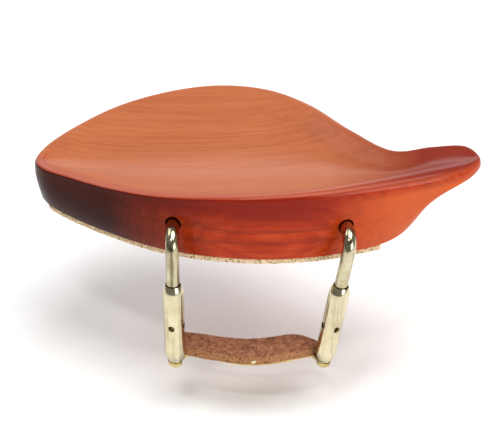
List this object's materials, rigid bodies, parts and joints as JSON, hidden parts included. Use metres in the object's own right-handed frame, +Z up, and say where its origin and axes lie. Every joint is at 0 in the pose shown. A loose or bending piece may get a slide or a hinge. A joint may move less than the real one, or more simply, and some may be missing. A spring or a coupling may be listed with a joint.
{
  "type": "violin chin rest",
  "caption": "Dished wooden violin chin rest on a cork pad, with an edge clamp whose turnbuckle barrels draw a cork-lined foot up under the instrument.",
  "frame": {"origin": "on the flat underside of the plate's cork pad, midway between the legs and 3.2 mm in from the pad's front edge", "axes": "+X along the plate from the rounded left tip to the raised wing, -Y towards the clamp and the player's side edge, +Z up out of the instrument's top"},
  "size_m": [0.1204, 0.0786, 0.0503],
  "materials": {
    "plate_wood": "clear gloss varnish over fine straight grain",
    "pale_cork": "raw cork sheet, speckled",
    "gold_plate": "polished pale gold plating",
    "brown_cork": "sanded dark cork, rougher and lighter on the cut edge"
  },
  "bodies": {
    "plate": {"chin_plate": "plate_wood", "plate_cork": "pale_cork"},
    "left_leg": {"left_leg": "gold_plate"},
    "right_leg": {"right_leg": "gold_plate"},
    "foot": {"foot_strip": "gold_plate", "foot_cork": "brown_cork", "left_post": "gold_plate", "right_post": "gold_plate"},
    "left_barrel": {"left_barrel": "gold_plate"},
    "right_barrel": {"right_barrel": "gold_plate"}
  },
  "joints": [
    {"name": "clamp_travel", "type": "slide", "parent": "plate", "child": "foot", "axis": [-0.0802, 0, -0.9968], "range_m": [0, 0.014]},
    {"name": "left_barrel_turn", "type": "hinge", "parent": "foot", "child": "left_barrel", "pos_m": [-0.0225, -0.0076, -0.0043], "axis": [0, 0, 1], "range_deg": [0, 3600]},
    {"name": "right_barrel_turn", "type": "hinge", "parent": "foot", "child": "right_barrel", "pos_m": [0.0209, -0.0076, -0.0043], "axis": [0.1599, 0, 0.9871], "range_deg": [0, 3600]},
    {"name": "left_leg_swivel", "type": "hinge", "parent": "plate", "child": "left_leg", "pos_m": [-0.0225, -0.0015, 0.0102], "axis": [0, -1, 0], "range_deg": [-2.5, 0]},
    {"name": "right_leg_swivel", "type": "hinge", "parent": "plate", "child": "right_leg", "pos_m": [0.0223, -0.0016, 0.0102], "axis": [0.1564, -0.9877, 0], "range_deg": [0, 2.5]}
  ],
  "couplings": [
    {"joint": "left_barrel_turn", "follows": "clamp_travel", "rad_per_m": 4487.9},
    {"joint": "right_barrel_turn", "follows": "clamp_travel", "rad_per_m": 4487.9},
    {"joint": "left_leg_swivel", "follows": "clamp_travel", "rad_per_m": -2.817},
    {"joint": "right_leg_swivel", "follows": "clamp_travel", "rad_per_m": 2.817}
  ]
}
